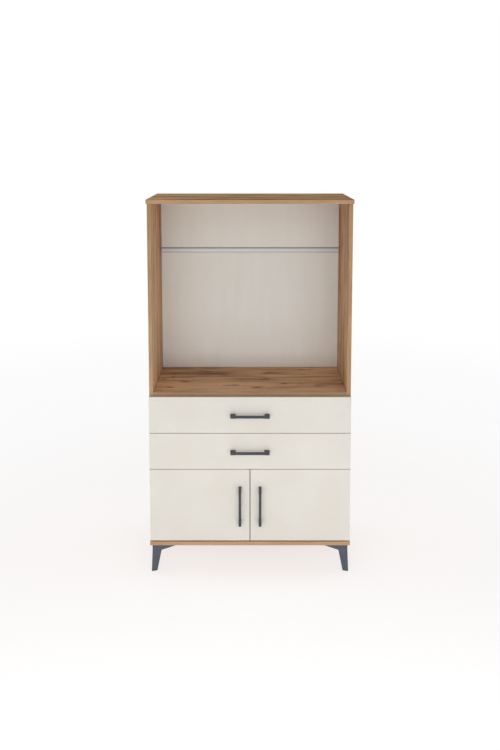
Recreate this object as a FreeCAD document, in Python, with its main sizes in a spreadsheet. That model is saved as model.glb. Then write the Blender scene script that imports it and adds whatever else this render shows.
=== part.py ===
"""Free-standing cabinet: an open niche over two wide drawers and a pair of doors, on four corner legs.

Millimetres, +Z up, +Y from the fronts to the back, +X to the right of someone facing it. The origin is
on the floor, in the middle of the overall box. Every piece takes its size and place from the sheet.
"""

import FreeCAD, Part
import os
import Sketcher
from types import SimpleNamespace

SIZES = {
    # Case boards
    "cap_width": 900,
    "cap_depth": 434,
    "board": 18,
    "cap_overhang": 2,
    "niche_height": 840,
    "niche_floor_reveal": 16,
    "edge_radius": 1,
    # Back boards, the grooves that hold them and the strip that joins them
    "back_board": 3,
    "back_margin": 6,
    "groove_depth": 6,
    "groove_clearance": 0.2,
    "shelf_clearance": 0.3,
    "strip_drop": 244,
    "strip_height": 25,
    "strip_band": 15,
    "strip_wall": 1.5,
    "strip_relief": 2,
    # Fronts
    "front_board": 18,
    "front_setback": 2,
    "front_standoff": 2,
    "front_gap": 2,
    "door_middle_gap": 3,
    "door_foot_gap": 4,
    "door_height": 332.5,
    "drawer_front_height": 164.25,
    # Legs
    "leg_height": 125,
    "leg_inset": 9,
    "leg_splay": 4,
    "leg_turn": 6,
    "leg_wall": 12,
    "leg_bevel": 2,
    "leg_flange": 3,
    "leg_flange_reach": 62,
    "leg_flange_width": 24,
    "leg_screw_margin": 10,
    "leg_gusset_length": 111,
    "leg_gusset_drop": 24,
    "leg_knee_width": 41,
    "leg_foot_width": 25,
    # Bar handles
    "handle_length": 174,
    "handle_reach": 30,
    "handle_bar_width": 11,
    "handle_bar_depth": 9,
    "handle_foot_length": 23,
    "handle_foot_width": 12.5,
    "handle_hole_spacing": 160,
    "handle_radius": 1,
    "door_handle_from_middle": 45,
    # Drawer boxes
    "wall_board": 12,
    "box_lift": 20,
    "box_head_gap": 23.5,
    "bottom_board": 3,
    "bottom_lift": 10,
    "bottom_groove": 5,
    # Telescopic slides
    "slide_gap": 12.7,
    "slide_length": 350,
    "slide_setback": 3,
    "slide_height": 45,
    "slide_wall": 1.2,
    "slide_clearance": 0.35,
    "slide_flange": 8.6,
    "rail_screw_margin": 44,
    # Concealed hinges
    "hinge_from_end": 80,
    "cup_radius": 17.4,
    "cup_depth": 11.5,
    "cup_wall": 1.5,
    "cup_from_edge": 22.5,
    "cup_flange": 1,
    "cup_rim": 2,
    "cup_ear_offset": 9.5,
    "cup_ear_width": 11,
    "cup_ear_length": 56,
    "cup_peg_radius": 4,
    "cup_peg_depth": 10,
    "cup_peg_spacing": 45,
    "cup_pin_radius": 1.5,
    "cup_pin_clearance": 0.3,
    "bore_clearance": 0.1,
    "arm_height": 14,
    "arm_near": 3,
    "arm_far": 13,
    "arm_nose": 8,
    "arm_length": 57,
    "plate_distance": 37,
    "plate_width": 20,
    "plate_height": 50,
    # Fasteners
    "dowel_radius": 4,
    "dowel_in_face": 12,
    "dowel_in_end": 18,
    "dowel_margin": 60,
    "dowel_clearance": 0.1,
    "cam_radius": 7.5,
    "cam_depth": 12.5,
    "cam_slot": 2,
    "cam_distance": 34,
    "cam_margin": 95,
    "bolt_radius": 3,
    "bolt_in_side": 11,
    "bolt_clearance": 0.3,
    "screw_radius": 2,
    "screw_head_radius": 4,
    "screw_head": 2.2,
    "flat_head": 0.9,
    "screw_in_board": 12,
    "screw_in_handle": 12,
    "screw_clearance": 0.1,
}

doc = FreeCAD.newDocument("cabinet")


class Term:
    """A length worked out from named sizes: its value, and the expression that the document keeps."""

    def __init__(self, value, text):
        self.value = value
        self.text = text

    def __add__(self, other):
        other = term(other)
        return Term(self.value + other.value, f"({self.text} + {other.text})")

    def __sub__(self, other):
        other = term(other)
        return Term(self.value - other.value, f"({self.text} - {other.text})")

    def __mul__(self, other):
        other = term(other)
        return Term(self.value * other.value, f"({self.text} * {other.text})")

    def __truediv__(self, other):
        other = term(other)
        return Term(self.value / other.value, f"({self.text} / {other.text})")

    def __rsub__(self, other):
        return term(other) - self

    def __neg__(self):
        return self * -1

    __radd__ = __add__
    __rmul__ = __mul__


def term(length):
    """The length as a Term, also where it is a plain number."""
    return length if isinstance(length, Term) else Term(length, f"({length})")


def make_sheet():
    """Writes the named sizes into the document's sheet, and returns them as Terms."""
    sheet = doc.addObject("Spreadsheet::Sheet", "Sizes")
    for row, (name, length) in enumerate(SIZES.items(), 1):
        sheet.set(f"A{row}", name)
        sheet.set(f"B{row}", str(length))
        sheet.setAlias(f"B{row}", name)
    return SimpleNamespace(**{name: Term(length, f"Sizes.{name}") for name, length in SIZES.items()})


s = make_sheet()
doc.recompute()

# Half widths, from the middle
case_half = s.cap_width / 2 - s.cap_overhang
inner_half = case_half - s.board
box_half = inner_half - s.slide_gap
box_inner_half = box_half - s.wall_board

# Depths, from the front to the back
overall_depth = s.cap_depth + s.handle_reach - s.front_setback
cap_front = s.handle_reach - s.front_setback - overall_depth / 2
cap_back = cap_front + s.cap_depth
front_face = cap_front + s.front_setback
front_back = front_face + s.front_board
case_front = front_back + s.front_standoff
groove_back = cap_back - s.back_margin
board_back = groove_back - s.groove_clearance
board_front = board_back - s.back_board
groove_front = board_front - s.groove_clearance
shelf_back = board_front - s.shelf_clearance
slide_front = case_front + s.slide_setback
slide_back = slide_front + s.slide_length

# Heights, from the floor up
case_foot = s.leg_height + s.board
door_foot = case_foot + s.door_foot_gap
door_head = door_foot + s.door_height
middle_shelf_top = door_head + s.front_gap / 2 + s.board / 2
DRAWER_FOOT = {
    "lower_drawer": door_head + s.front_gap,
    "upper_drawer": door_head + s.front_gap * 2 + s.drawer_front_height,
}
fronts_head = DRAWER_FOOT["upper_drawer"] + s.drawer_front_height
niche_floor_top = fronts_head + s.niche_floor_reveal
case_head = niche_floor_top + s.niche_height
strip_middle = case_head - s.strip_drop - s.strip_height / 2
DOOR_SIDE = {"left_door": -1, "right_door": 1}
SIDES = {"left": -1, "right": 1}

# Rotations that turn a cylinder's axis from +Z to the direction named
TURNS = {
    "+Z": FreeCAD.Rotation(),
    "-Z": FreeCAD.Rotation(FreeCAD.Vector(1, 0, 0), 180),
    "+X": FreeCAD.Rotation(FreeCAD.Vector(0, 1, 0), 90),
    "-X": FreeCAD.Rotation(FreeCAD.Vector(0, 1, 0), -90),
    "+Y": FreeCAD.Rotation(FreeCAD.Vector(1, 0, 0), -90),
    "-Y": FreeCAD.Rotation(FreeCAD.Vector(1, 0, 0), 90),
}
OPPOSITE = {"+X": "-X", "-X": "+X", "+Y": "-Y", "-Y": "+Y", "+Z": "-Z", "-Z": "+Z"}
TOLERANCE = 1e-3
subparts = []


# ---- Binding, primitives and booleans ----


def bind(thing, **sizes):
    """Ties each named property of an object to its length's expression."""
    for name, length in sizes.items():
        thing.setExpression(name, term(length).text)


def place(thing, corner, turn=FreeCAD.Rotation()):
    """Turns an object, and ties its place to three lengths."""
    thing.Placement = FreeCAD.Placement(FreeCAD.Vector(), turn)
    for axis, length in zip("xyz", corner):
        thing.setExpression(f"Placement.Base.{axis}", term(length).text)


def moved(point, direction, distance):
    """The point, moved by a distance along a named direction."""
    axis = "XYZ".index(direction[1])
    step = distance if direction[0] == "+" else -term(distance)
    return tuple(term(c) + step if i == axis else c for i, c in enumerate(point))


def box(label, low, high):
    """A block between two corners."""
    made = doc.addObject("Part::Box", label)
    size = [term(b) - a for a, b in zip(low, high)]
    bind(made, Length=size[0], Width=size[1], Height=size[2])
    place(made, low)
    return made


def rod(label, start, direction, radius, length):
    """A round bar from a point, along a named direction."""
    made = doc.addObject("Part::Cylinder", label)
    bind(made, Radius=radius, Height=length)
    place(made, start, TURNS[direction])
    return made


def fused(label, pieces):
    made = doc.addObject("Part::MultiFuse", label)
    made.Shapes = pieces
    return made


def grouped(label, pieces):
    """Separate solids that share one node."""
    made = doc.addObject("Part::Compound", label)
    made.Links = pieces
    return made


def cut(label, blank, tools):
    made = doc.addObject("Part::Cut", label)
    made.Base = blank
    made.Tool = tools[0] if len(tools) == 1 else fused(label + "_tools", tools)
    return made


def keep(made, label):
    """Marks an object as a sub-part, which gets a file of its own."""
    made.Label = label
    subparts.append(made)
    return made


# ---- Bodies and sketches ----


def new_body(label):
    return doc.addObject("PartDesign::Body", label)


def sketch_on(body, role, lift=0):
    """An empty sketch on one of the body's own origin planes, lifted along the plane's normal."""
    drawn = body.newObject("Sketcher::SketchObject", body.Name + "_sketch")
    plane = next(f for f in body.Origin.OriginFeatures if f.Role == role)
    drawn.AttachmentSupport = [(plane, "")]
    drawn.MapMode = "FlatFace"
    drawn.setExpression("AttachmentOffset.Base.z", term(lift).text)
    return drawn


def pin_point(drawn, geometry, position, point):
    """Holds one point of a sketch at two lengths from the sketch's origin."""
    for kind, length in zip(("DistanceX", "DistanceY"), point):
        length = term(length)
        held = Sketcher.Constraint(kind, -1, 1, geometry, position, length.value)
        drawn.setExpression(f"Constraints[{drawn.addConstraint(held)}]", length.text)


def draw_polygon(drawn, points):
    """A closed outline with straight sides, each corner held in place."""
    corners = [FreeCAD.Vector(term(x).value, term(y).value, 0) for x, y in points]
    sides = [Part.LineSegment(a, b) for a, b in zip(corners, corners[1:] + corners[:1])]
    numbers = [drawn.addGeometry(side, False) for side in sides]
    for this, following in zip(numbers, numbers[1:] + numbers[:1]):
        drawn.addConstraint(Sketcher.Constraint("Coincident", this, 2, following, 1))
    for number, point in zip(numbers, points):
        pin_point(drawn, number, 1, point)


def draw_circle(drawn, centre, radius):
    """A circle with its centre and radius held."""
    middle = FreeCAD.Vector(term(centre[0]).value, term(centre[1]).value, 0)
    number = drawn.addGeometry(Part.Circle(middle, FreeCAD.Vector(0, 0, 1), radius.value), False)
    pin_point(drawn, number, 3, centre)
    held = drawn.addConstraint(Sketcher.Constraint("Radius", number, radius.value))
    drawn.setExpression(f"Constraints[{held}]", radius.text)


def rectangle(low, high):
    """The four corners of a rectangle, in order."""
    return [low, (high[0], low[1]), high, (low[0], high[1])]


def pad(body, drawn, length, towards_back=False, middle=False):
    """Thickens a sketch: along its plane's normal, against it (towards +Y from XZ), or both ways."""
    made = body.newObject("PartDesign::Pad", body.Name + "_pad")
    made.Profile = drawn
    bind(made, Length=length)
    made.Reversed = towards_back
    made.Midplane = middle
    return made


def pocket(body, drawn, depth, towards_back=False):
    """Cuts a sketch into the solid: against its plane's normal, or along it."""
    made = body.newObject("PartDesign::Pocket", body.Name + "_pocket")
    made.Profile = drawn
    bind(made, Length=depth)
    made.Reversed = towards_back
    return made


def soften(body, feature, radius, wanted):
    """Rounds the edges of a feature for which wanted(box of the edge) is true."""
    doc.recompute()
    edges = feature.Shape.Edges
    names = [f"Edge{i}" for i, edge in enumerate(edges, 1) if wanted(edge.BoundBox)]
    made = body.newObject("PartDesign::Fillet", body.Name + "_fillet")
    made.Base = (feature, names)
    bind(made, Radius=radius)
    return made


def near(a, b):
    return abs(a - b) < TOLERANCE


# ---- Fasteners: each list gives the solids, and the holes that clear them ----


def screw(label, seat, direction, in_board, head):
    """A pan-head screw: its head rests on the seat point, and its shank runs on in the direction."""
    shank = rod(label + "_shank", seat, direction, s.screw_radius, in_board)
    top = rod(label + "_head", seat, OPPOSITE[direction], s.screw_head_radius, head)
    return fused(label, [shank, top])


def screw_hole(label, seat, direction, in_board):
    """The hole for a screw's shank, which starts a little in front of its seat."""
    start = moved(seat, OPPOSITE[direction], s.screw_clearance)
    length = in_board + 2 * s.screw_clearance
    return rod(label + "_hole", start, direction, s.screw_radius + s.screw_clearance, length)


def make_dowels():
    """Beech dowels at every board joint. Returns the holes for each board."""
    holes = {}
    dowels = []

    def add(start, direction, first, second):
        label = f"dowel_{len(dowels)}"
        length = s.dowel_in_face + s.dowel_in_end
        hole_start = moved(start, OPPOSITE[direction], s.dowel_clearance)
        radius = s.dowel_radius + s.dowel_clearance
        dowels.append(rod(label, start, direction, s.dowel_radius, length))
        hole = rod(label + "_hole", hole_start, direction, radius, length + 2 * s.dowel_clearance)
        for board in (first, second):
            holes.setdefault(board, []).append(hole)

    for side, sign in SIDES.items():
        x = (case_half - s.board / 2) * sign
        inward = "+X" if sign < 0 else "-X"
        for y in (case_front + s.dowel_margin, (case_front + cap_back) / 2, cap_back - s.dowel_margin):
            add((x, y, case_head + s.dowel_in_face), "-Z", "top_panel", side + "_side_panel")
            add((x, y, case_foot - s.dowel_in_face), "+Z", "bottom_panel", side + "_side_panel")
        for shelf, top in (("niche_floor", niche_floor_top), ("middle_shelf", middle_shelf_top)):
            for y in (case_front + s.dowel_margin, cap_back - s.dowel_margin):
                start = ((inner_half + s.dowel_in_face) * sign, y, top - s.board / 2)
                add(start, inward, shelf, side + "_side_panel")
    keep(grouped("panel_dowels", dowels), "panel_dowels")
    return holes


def make_cams():
    """Cam locks in the undersides of both fixed shelves, and the bolts they pull on. Returns the holes."""
    holes = {}
    locks = []
    bolts = []
    bolt_length = s.bolt_in_side + s.cam_distance - s.cam_radius - s.bolt_clearance
    for side, sign in SIDES.items():
        inward = "+X" if sign < 0 else "-X"
        for shelf, top in (("niche_floor", niche_floor_top), ("middle_shelf", middle_shelf_top)):
            for y in (case_front + s.cam_margin, cap_back - s.cam_margin):
                label = f"cam_{len(locks)}"
                x = (inner_half - s.cam_distance) * sign
                under = (x, y, top - s.board)
                disc = rod(label + "_disc", under, "+Z", s.cam_radius, s.cam_depth)
                slot_low = (x - s.cam_radius, y - s.cam_slot / 2, top - s.board)
                slot_high = (x + s.cam_radius, y + s.cam_slot / 2, top - s.board + s.cam_slot)
                locks.append(cut(label, disc, [box(label + "_slot", slot_low, slot_high)]))
                radius = s.cam_radius + s.screw_clearance
                depth = s.cam_depth + s.screw_clearance
                start = ((inner_half + s.bolt_in_side) * sign, y, top - s.board / 2)
                bolts.append(rod(label + "_bolt", start, inward, s.bolt_radius, bolt_length))
                bolt_hole = rod(
                    label + "_bolt_hole",
                    moved(start, OPPOSITE[inward], s.screw_clearance),
                    inward,
                    s.bolt_radius + s.screw_clearance,
                    bolt_length + s.screw_clearance + s.bolt_clearance,
                )
                bore = rod(label + "_bore", under, "+Z", radius, depth)
                holes.setdefault(shelf, []).extend([bore, bolt_hole])
                holes.setdefault(side + "_side_panel", []).append(bolt_hole)
    keep(grouped("cam_locks", locks), "cam_locks")
    keep(grouped("cam_bolts", bolts), "cam_bolts")
    return holes


# ---- Case ----


def rounded_board(label, low, high, rounded_ends=True):
    """A board with softened front and back edges, and softened ends where they show."""
    body = new_body(label)
    drawn = sketch_on(body, "XY_Plane")
    draw_polygon(drawn, rectangle((term(0), term(0)), (term(high[0]) - low[0], term(high[1]) - low[1])))
    blank = pad(body, drawn, term(high[2]) - low[2])
    place(body, low)
    doc.recompute()
    depth = (term(high[1]) - low[1]).value
    thickness = (term(high[2]) - low[2]).value

    def wanted(edge):
        level = near(edge.ZLength, 0) and (near(edge.ZMin, 0) or near(edge.ZMin, thickness))
        front = near(edge.YLength, 0) and near(edge.YMin, 0)
        back = near(edge.YLength, 0) and near(edge.YMin, depth)
        return level and (front or (rounded_ends and (back or near(edge.XLength, 0))))

    soften(body, blank, s.edge_radius, wanted)
    return body


def make_caps(holes):
    """The top and bottom panels, which lap over the sides, with a groove for the back boards."""
    half = s.cap_width / 2
    for label, under, groove_under in (
        ("top_panel", case_head, case_head),
        ("bottom_panel", s.leg_height, case_foot - s.groove_depth),
    ):
        low = (-half, cap_front, under)
        high = (half, cap_back, under + s.board)
        groove_low = (-(inner_half + s.groove_depth), groove_front, groove_under)
        groove_high = (inner_half + s.groove_depth, groove_back, groove_under + s.groove_depth)
        groove = box(label + "_groove", groove_low, groove_high)
        blank = rounded_board(label + "_blank", low, high)
        keep(cut(label, blank, [groove] + holes[label]), label)


def make_sides(holes):
    """The side panels, with a softened front edge and a groove for the back boards."""
    for side, sign in SIDES.items():
        label = side + "_side_panel"
        body = new_body(label + "_blank")
        drawn = sketch_on(body, "XY_Plane")
        draw_polygon(drawn, rectangle((term(0), term(0)), (s.board, cap_back - case_front)))
        blank = pad(body, drawn, case_head - case_foot)
        place(body, (case_half * sign - s.board * (sign + 1) / 2, case_front, case_foot))
        soften(body, blank, s.edge_radius, lambda e: near(e.YMax, 0) and e.ZLength > e.XLength)
        depths = [inner_half * sign, (inner_half + s.groove_depth) * sign]
        low_x, high_x = sorted(depths, key=lambda depth: depth.value)
        groove_low = (low_x, groove_front, case_foot)
        groove_high = (high_x, groove_back, case_head)
        groove = box(label + "_groove", groove_low, groove_high)
        keep(cut(label, body, [groove] + holes[label]), label)


def make_shelves(holes):
    """The fixed floor of the niche, and the fixed shelf between the drawers and the doors."""
    for label, top in (("niche_floor", niche_floor_top), ("middle_shelf", middle_shelf_top)):
        low = (-inner_half, case_front, top - s.board)
        high = (inner_half, shelf_back, top)
        blank = rounded_board(label + "_blank", low, high, rounded_ends=False)
        keep(cut(label, blank, holes[label]), label)


def make_back():
    """Two thin back boards in the grooves, and the strip between them that joins and trims the seam."""
    half = inner_half + s.groove_depth - s.shelf_clearance
    seam = s.strip_wall / 2 + s.shelf_clearance
    foot = case_foot - s.groove_depth + s.shelf_clearance
    head = case_head + s.groove_depth - s.shelf_clearance
    lower = box("lower_back_board", (-half, board_front, foot), (half, board_back, strip_middle - seam))
    upper = box("upper_back_board", (-half, board_front, strip_middle + seam), (half, board_back, head))
    keep(lower, "lower_back_board")
    keep(upper, "upper_back_board")

    body = new_body("back_joint_strip")
    drawn = sketch_on(body, "YZ_Plane")
    lip = s.strip_height / 2
    band = s.strip_band / 2
    web = s.strip_wall / 2
    face = -s.groove_clearance - s.strip_wall
    raised = face - s.strip_relief
    back = s.back_board + s.groove_clearance
    draw_polygon(drawn, [
        (face, -lip), (-s.groove_clearance, -lip), (-s.groove_clearance, -web), (back, -web), (back, -band),
        (back + s.strip_wall, -band), (back + s.strip_wall, band), (back, band), (back, web),
        (-s.groove_clearance, web), (-s.groove_clearance, lip), (face, lip), (face, band), (raised, band),
        (raised, -band), (face, -band),
    ])
    pad(body, drawn, (inner_half - s.shelf_clearance) * 2)
    place(body, (s.shelf_clearance - inner_half, board_front, strip_middle))
    keep(body, "back_joint_strip")


# ---- Legs ----


def leg_section(width, out, turn):
    """An angle section with bevelled corners.

    Its outer corner is out past the origin on both axes, and its wings' ends lie turn further in than that.
    """
    wall = s.leg_wall
    bevel = s.leg_bevel
    end = width - out
    face = turn - out
    return [
        (bevel - out, -out), (end - bevel, face), (end, face + bevel), (end, face + wall),
        (wall - out, wall - out), (face + wall, end), (face + bevel, end), (face, end - bevel),
        (-out, bevel - out),
    ]


def leg_screw_places():
    """The leg's three screws, from its outer corner along both wings."""
    close = s.leg_wall + s.leg_screw_margin
    far = s.leg_flange_reach - s.leg_screw_margin
    return [(close, close), (far, close), (close, far)]


def make_legs():
    """Four splayed corner legs, each an angle with a gusset along both edges and a screw flange."""
    screws = []
    holes = []
    for end, back in (("front", -1), ("rear", 1)):
        for side, sign in SIDES.items():
            label = f"{end}_{side}_leg"
            corner = ((s.cap_width / 2 - s.leg_inset) * sign, cap_front + s.leg_inset, s.leg_height)
            if back > 0:
                corner = (corner[0], cap_back - s.leg_inset, corner[2])
            body = new_body(label + "_moulding")
            sections = []
            for drop, width, out, turn in (
                (term(0), s.leg_gusset_length, term(0), term(0)),
                (s.leg_flange, s.leg_gusset_length, term(0), term(0)),
                (s.leg_flange + s.leg_gusset_drop, s.leg_knee_width, term(0), term(0)),
                (s.leg_height, s.leg_foot_width, s.leg_splay, s.leg_turn),
            ):
                drawn = sketch_on(body, "XY_Plane", -drop)
                draw_polygon(drawn, [(x * -sign, y * -back) for x, y in leg_section(width, out, turn)])
                sections.append(drawn)
            loft = body.newObject("PartDesign::AdditiveLoft", label + "_loft")
            loft.Profile = sections[0]
            loft.Sections = sections[1:]
            loft.Ruled = True
            flange = sketch_on(body, "XY_Plane", -s.leg_flange)
            inner = s.leg_wall / 2
            reach = s.leg_flange_reach
            width = s.leg_flange_width
            outline = [(inner, inner), (reach, inner), (reach, width), (width, reach), (inner, reach)]
            draw_polygon(flange, [(x * -sign, y * -back) for x, y in outline])
            pad(body, flange, s.leg_flange)
            place(body, corner)
            leg_holes = []
            for number, (x, y) in enumerate(leg_screw_places()):
                name = f"{label}_screw_{number}"
                seat = (corner[0] - x * sign, corner[1] - y * back, s.leg_height - s.leg_flange)
                in_board = s.leg_flange + s.screw_in_board
                screws.append(screw(name, seat, "+Z", in_board, s.screw_head))
                leg_holes.append(screw_hole(name, seat, "+Z", in_board))
            keep(cut(label, body, leg_holes), label)
            holes += leg_holes
    keep(grouped("leg_screws", screws), "leg_screws")
    return {"bottom_panel": holes}


# ---- Handles ----


def handle_screw_places(upright):
    """The two screw places of a handle, from its middle, as offsets along X and Z."""
    half = s.handle_hole_spacing / 2
    offsets = (-half, half)
    return [(term(0), offset) if upright else (offset, term(0)) for offset in offsets]


def make_handle(label, centre_x, centre_z, upright):
    """A slim bar between two broader feet, drilled for its screws. It stands forward of its front."""
    body = new_body(label)
    half = s.handle_length / 2
    foot = half - s.handle_foot_length
    reach = s.handle_reach
    bar = sketch_on(body, "XY_Plane")
    bar_end = half - s.handle_radius
    draw_polygon(bar, rectangle((-bar_end, -reach), (bar_end, s.handle_bar_depth - reach)))
    pad(body, bar, s.handle_bar_width, middle=True)
    for low in (-half, foot):
        drawn = sketch_on(body, "XY_Plane")
        draw_polygon(drawn, rectangle((low, -reach), (low + s.handle_foot_length, term(0))))
        feet = pad(body, drawn, s.handle_foot_width, middle=True)

    def wanted(edge):
        at_end = near(abs(edge.XMin), half.value) and near(edge.XLength, 0)
        return at_end and not near(edge.YMin, 0)

    soften(body, feet, s.handle_radius, wanted)
    holes = sketch_on(body, "XZ_Plane")
    for x, _ in handle_screw_places(upright=False):
        draw_circle(holes, (x, term(0)), s.screw_radius + s.screw_clearance)
    pocket(body, holes, s.screw_in_handle + s.screw_clearance, towards_back=True)
    turn = FreeCAD.Rotation(FreeCAD.Vector(0, 1, 0), 90 if upright else 0)
    place(body, (centre_x, front_face, centre_z), turn)
    keep(body, label)


def make_handle_screws(label, centre_x, centre_z, upright):
    """The two machine screws of a handle, from behind its front."""
    screws = []
    for number, (x, z) in enumerate(handle_screw_places(upright)):
        seat = (centre_x + x, front_back, centre_z + z)
        length = s.front_board + s.screw_in_handle
        screws.append(screw(f"{label}_{number}", seat, "-Y", length, s.screw_head))
    keep(grouped(label, screws), label)


# ---- Fronts ----


def make_front(label, low_x, high_x, foot, height, screw_places):
    """A lacquered front with softened face edges and two through holes for its handle."""
    body = new_body(label)
    drawn = sketch_on(body, "XZ_Plane")
    draw_polygon(drawn, rectangle((low_x, foot), (high_x, foot + height)))
    for centre in screw_places:
        draw_circle(drawn, centre, s.screw_radius + s.screw_clearance)
    blank = pad(body, drawn, s.front_board, towards_back=True)
    place(body, (term(0), front_face, term(0)))
    width = (high_x - low_x).value

    def wanted(edge):
        straight = near(edge.XLength, width) or near(edge.ZLength, height.value)
        return near(edge.YMax, 0) and near(edge.YLength, 0) and straight

    soften(body, blank, s.edge_radius, wanted)
    return body


# ---- Drawers ----


def channel(label, start_x, inward, half_height, opens_inward, middle):
    """A sheet-steel channel along Y, from start_x in the inward direction, open to one side."""
    body = new_body(label)
    drawn = sketch_on(body, "XZ_Plane")
    wall = s.slide_wall
    depth = s.slide_flange
    web_face = wall if opens_inward else depth - wall
    open_side = depth if opens_inward else term(0)
    closed_side = term(0) if opens_inward else depth
    outline = [
        (closed_side, -half_height), (open_side, -half_height), (open_side, wall - half_height),
        (web_face, wall - half_height), (web_face, half_height - wall), (open_side, half_height - wall),
        (open_side, half_height), (closed_side, half_height),
    ]
    draw_polygon(drawn, [(x * inward, z) for x, z in outline])
    pad(body, drawn, s.slide_length, towards_back=True)
    place(body, (start_x, slide_front, middle))
    return body


def rail_screw_depths():
    """Where a rail's three screws are, along Y: near both ends, and halfway."""
    margin = s.rail_screw_margin
    return [slide_front + step for step in (margin, s.slide_length / 2, s.slide_length - margin)]


def box_heights(foot):
    """The underside and the top edge of a drawer's box."""
    return foot + s.box_lift, foot + s.drawer_front_height - s.box_head_gap


def make_slides(drawer, foot):
    """Both telescopic slides of a drawer: rail on the case, slide between, runner on the box."""
    box_foot, box_head = box_heights(foot)
    middle = (box_foot + box_head) / 2
    rail_half = s.slide_height / 2
    slide_half = rail_half - s.slide_wall - s.slide_clearance
    runner_half = slide_half - s.slide_wall - s.slide_clearance
    slide_start = s.slide_wall + s.flat_head + s.slide_clearance
    screws = []
    holes = {}
    for side, sign in SIDES.items():
        inward = -sign
        name = f"{drawer}_{side}"
        rail = channel(name + "_rail_section", inner_half * sign, inward, rail_half, True, middle)
        slide_x = (inner_half - slide_start) * sign
        slide = channel(name + "_slide", slide_x, inward, slide_half, True, middle)
        runner_x = (box_half + s.slide_flange) * sign
        runner = channel(name + "_runner", runner_x, inward, runner_half, False, middle)
        rail_holes = []
        outward = "-X" if sign < 0 else "+X"
        for number, y in enumerate(rail_screw_depths()):
            label = f"{name}_rail_screw_{number}"
            seat = ((inner_half - s.slide_wall) * sign, y, middle)
            in_board = s.slide_wall + s.screw_in_board
            screws.append(screw(label, seat, outward, in_board, s.flat_head))
            rail_holes.append(screw_hole(label, seat, outward, in_board))
        keep(cut(name + "_rail", rail, rail_holes), name + "_rail")
        keep(slide, name + "_slide")
        keep(runner, name + "_runner")
        holes[side + "_side_panel"] = rail_holes
    return screws, holes


def make_drawer(drawer, foot):
    """One drawer: front, handle, box walls and a thin bottom in grooves."""
    centre = foot + s.drawer_front_height / 2
    places = [(x, centre + z) for x, z in handle_screw_places(upright=False)]
    blank = make_front(drawer + "_front_blank", -case_half, case_half, foot, s.drawer_front_height, places)
    make_handle(drawer + "_handle", term(0), centre, upright=False)
    make_handle_screws(drawer + "_handle_screws", term(0), centre, upright=False)

    box_foot, box_head = box_heights(foot)
    box_back = slide_back
    bottom_foot = box_foot + s.bottom_lift
    bottom_head = bottom_foot + s.bottom_board
    reach = box_inner_half + s.bottom_groove
    clear = s.groove_clearance
    groove = box(
        drawer + "_groove",
        (-reach, front_back - s.bottom_groove, bottom_foot - clear),
        (reach, box_back, bottom_head + clear),
    )
    keep(cut(drawer + "_front", blank, [groove]), drawer + "_front")
    for side, sign in SIDES.items():
        low_x, high_x = (-box_half, -box_inner_half) if sign < 0 else (box_inner_half, box_half)
        label = f"{drawer}_{side}_wall"
        wall = box(label + "_blank", (low_x, front_back, box_foot), (high_x, box_back, box_head))
        keep(cut(label, wall, [groove]), label)
    back_low = (-box_inner_half, box_back - s.wall_board, bottom_head + clear)
    label = drawer + "_back_wall"
    keep(box(label, back_low, (box_inner_half, box_back, box_head)), label)
    low = (clear - reach, front_back - s.bottom_groove + clear, bottom_foot)
    high = (reach - clear, box_back, bottom_head)
    keep(box(drawer + "_bottom", low, high), drawer + "_bottom")


# ---- Doors and hinges ----


def hinge_heights():
    """The heights of the hinges of a door, by name."""
    return {"lower": door_foot + s.hinge_from_end, "upper": door_head - s.hinge_from_end}


def make_cup(label, x, z, sign):
    """The hinge cup in a door: a pressed bowl with a cross pin, a flange with two ears, and two pegs.

    The pin crosses the bowl from wall to wall, close in front of the nose of the hinge's arm.
    """
    ear_x = x - s.cup_ear_offset * sign
    ears = box(
        label + "_ears",
        (ear_x - s.cup_ear_width / 2, front_back, z - s.cup_ear_length / 2),
        (ear_x + s.cup_ear_width / 2, front_back + s.cup_flange, z + s.cup_ear_length / 2),
    )
    rim_front = (x, front_back, z)
    mouth = (x, front_back + s.cup_flange, z)
    bowl = rod(label + "_bowl", rim_front, "-Y", s.cup_radius, s.cup_depth)
    rim = rod(label + "_rim", rim_front, "+Y", s.cup_radius + s.cup_rim, s.cup_flange)
    pegs = [
        rod(f"{label}_peg_{n}", (ear_x, front_back, z + half), "-Y", s.cup_peg_radius, s.cup_peg_depth)
        for n, half in enumerate((-s.cup_peg_spacing / 2, s.cup_peg_spacing / 2))
    ]
    hollow_depth = s.cup_flange + s.cup_depth - s.cup_wall
    inner_radius = s.cup_radius - s.cup_wall
    hollow = rod(label + "_hollow", mouth, "-Y", inner_radius, hollow_depth)
    pressing = cut(label + "_pressing", fused(label + "_blank", [bowl, rim, ears] + pegs), [hollow])
    pin_x = (inner_half - (s.arm_near + s.arm_far) / 2) * sign
    pin_y = case_front - s.arm_nose - s.cup_pin_clearance - s.cup_pin_radius
    pin = rod(label + "_pin", (pin_x, pin_y, z - inner_radius), "+Z", s.cup_pin_radius, inner_radius * 2)
    keep(fused(label, [pressing, pin]), label)


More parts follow.
